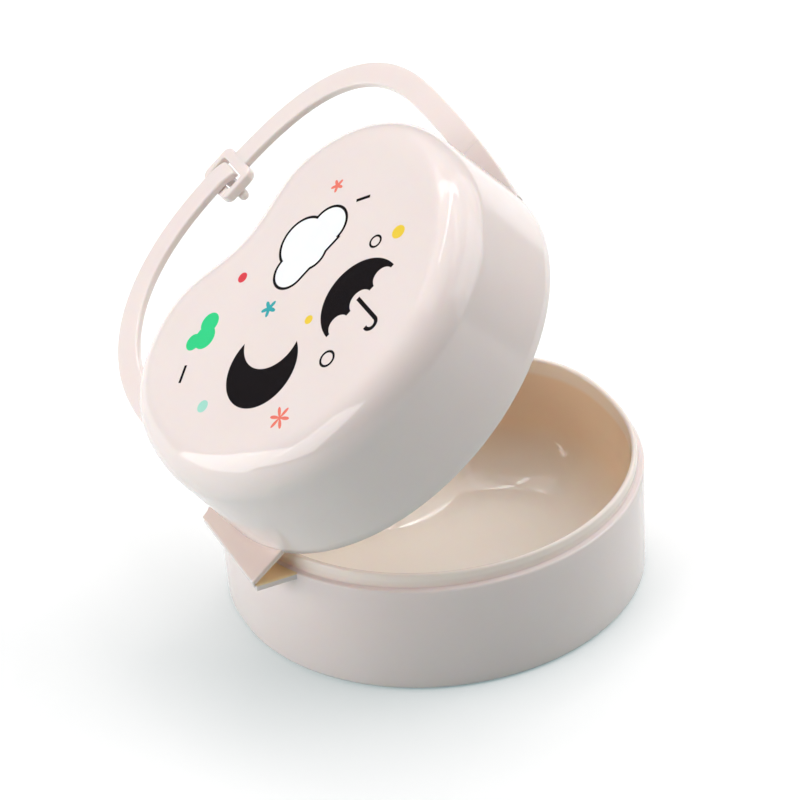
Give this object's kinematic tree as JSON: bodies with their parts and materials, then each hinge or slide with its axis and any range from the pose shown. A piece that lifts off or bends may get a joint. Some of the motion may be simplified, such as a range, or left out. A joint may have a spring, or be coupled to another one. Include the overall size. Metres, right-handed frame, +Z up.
{
  "type": "pacifier case",
  "caption": "Bean-shaped snap case for pacifiers: tray and domed lid on a living hinge, with a two-piece strap handle that fastens with a ring and toggle.",
  "frame": {"origin": "on the underside of the tray, halfway along the line where the case is widest", "axes": "+X from the hinge end to the free end, +Y towards the dimpled side where the handle loops out, +Z up"},
  "size_m": [0.1114, 0.1403, 0.109],
  "materials": {
    "cream_polypropylene": "smooth moulded gloss, warm cream, slightly translucent-looking in thin places"
  },
  "bodies": {
    "base": {"base_tray": "cream_polypropylene", "base_hinge_leaf": "cream_polypropylene", "hinge_film": "cream_polypropylene"},
    "lid": {"lid_shell": "cream_polypropylene", "lid_hinge_leaf": "cream_polypropylene", "strap_root_ring_side": "cream_polypropylene", "strap_root_toggle_side": "cream_polypropylene", "crease_film_ring_side": "cream_polypropylene", "crease_film_toggle_side": "cream_polypropylene"},
    "ring_half": {"strap_ring_half": "cream_polypropylene", "clasp_ring": "cream_polypropylene"},
    "toggle_half": {"strap_toggle_half": "cream_polypropylene", "clasp_toggle": "cream_polypropylene"}
  },
  "joints": [
    {"name": "lid_hinge", "type": "hinge", "parent": "base", "child": "lid", "pos_m": [-0.0521, -0.007, 0.02715], "axis": [0, -1, 0], "range_deg": [-38.4, 126], "deforming": ["hinge_film"]},
    {"name": "ring_half_fold", "type": "hinge", "parent": "lid", "child": "ring_half", "pos_m": [-0.01155, 0.0255, 0.05986], "axis": [0.7837, 0, 0.6211], "range_deg": [-20, 90], "stiffness_Nm_per_rad": 0.03, "deforming": ["crease_film_ring_side"]},
    {"name": "toggle_half_fold", "type": "hinge", "parent": "lid", "child": "toggle_half", "pos_m": [-0.01155, 0.0255, 0.05986], "axis": [0.7837, 0, 0.6211], "range_deg": [-20, 90], "stiffness_Nm_per_rad": 0.03, "deforming": ["crease_film_toggle_side"]}
  ],
  "couplings": [
    {"joint": "toggle_half_fold", "follows": "ring_half_fold", "ratio": 1}
  ]
}
